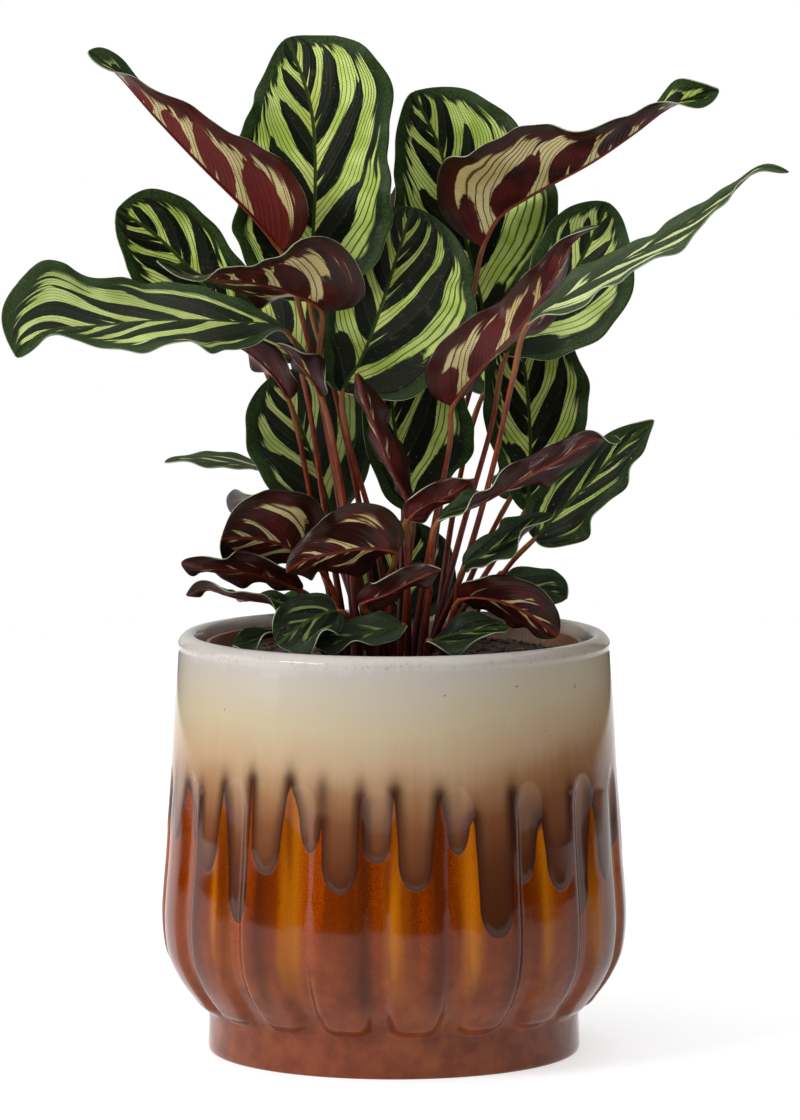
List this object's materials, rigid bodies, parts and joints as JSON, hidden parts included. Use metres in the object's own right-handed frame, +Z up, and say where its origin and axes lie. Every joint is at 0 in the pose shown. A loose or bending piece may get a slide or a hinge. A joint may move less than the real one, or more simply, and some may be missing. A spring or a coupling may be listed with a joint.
{
  "type": "potted peacock plant",
  "caption": "House plant with feather-patterned leaves, green above and wine red below, on thin stalks, in a nursery pot of soil inside a fluted glazed ceramic pot.",
  "frame": {"origin": "centre of the pot's flat underside", "axes": "+Z up, out of the pot's mouth; -Y is the side that faces the viewer; +X is to the viewer's right"},
  "size_m": [0.3274, 0.2178, 0.4344],
  "materials": {
    "pot_glaze": "running glossy glaze, cream at the rim to amber and rust brown below",
    "nursery_plastic": "reddish brown moulded plastic",
    "potting_soil": "dark loose potting soil",
    "leaf_blade": "satin leaf, dark ovals on lime green above, wine red below"
  },
  "bodies": {
    "root": {"pot": "pot_glaze", "nursery_pot": "nursery_plastic", "soil": "potting_soil", "leaf_01": "leaf_blade", "leaf_02": "leaf_blade", "leaf_03": "leaf_blade", "leaf_04": "leaf_blade", "leaf_05": "leaf_blade", "leaf_06": "leaf_blade", "leaf_07": "leaf_blade", "leaf_08": "leaf_blade", "leaf_09": "leaf_blade", "leaf_10": "leaf_blade", "leaf_11": "leaf_blade", "leaf_12": "leaf_blade", "leaf_13": "leaf_blade", "leaf_14": "leaf_blade", "leaf_15": "leaf_blade", "leaf_16": "leaf_blade", "leaf_17": "leaf_blade", "leaf_18": "leaf_blade", "leaf_19": "leaf_blade", "leaf_20": "leaf_blade", "leaf_21": "leaf_blade", "leaf_22": "leaf_blade", "leaf_23": "leaf_blade", "leaf_24": "leaf_blade", "leaf_25": "leaf_blade", "leaf_26": "leaf_blade", "leaf_27": "leaf_blade", "leaf_28": "leaf_blade", "leaf_29": "leaf_blade", "leaf_30": "leaf_blade", "leaf_31": "leaf_blade", "leaf_32": "leaf_blade", "leaf_33": "leaf_blade", "leaf_34": "leaf_blade", "leaf_35": "leaf_blade", "leaf_36": "leaf_blade", "leaf_37": "leaf_blade", "leaf_38": "leaf_blade", "leaf_39": "leaf_blade", "leaf_40": "leaf_blade", "leaf_41": "leaf_blade", "leaf_42": "leaf_blade"}
  },
  "joints": []
}
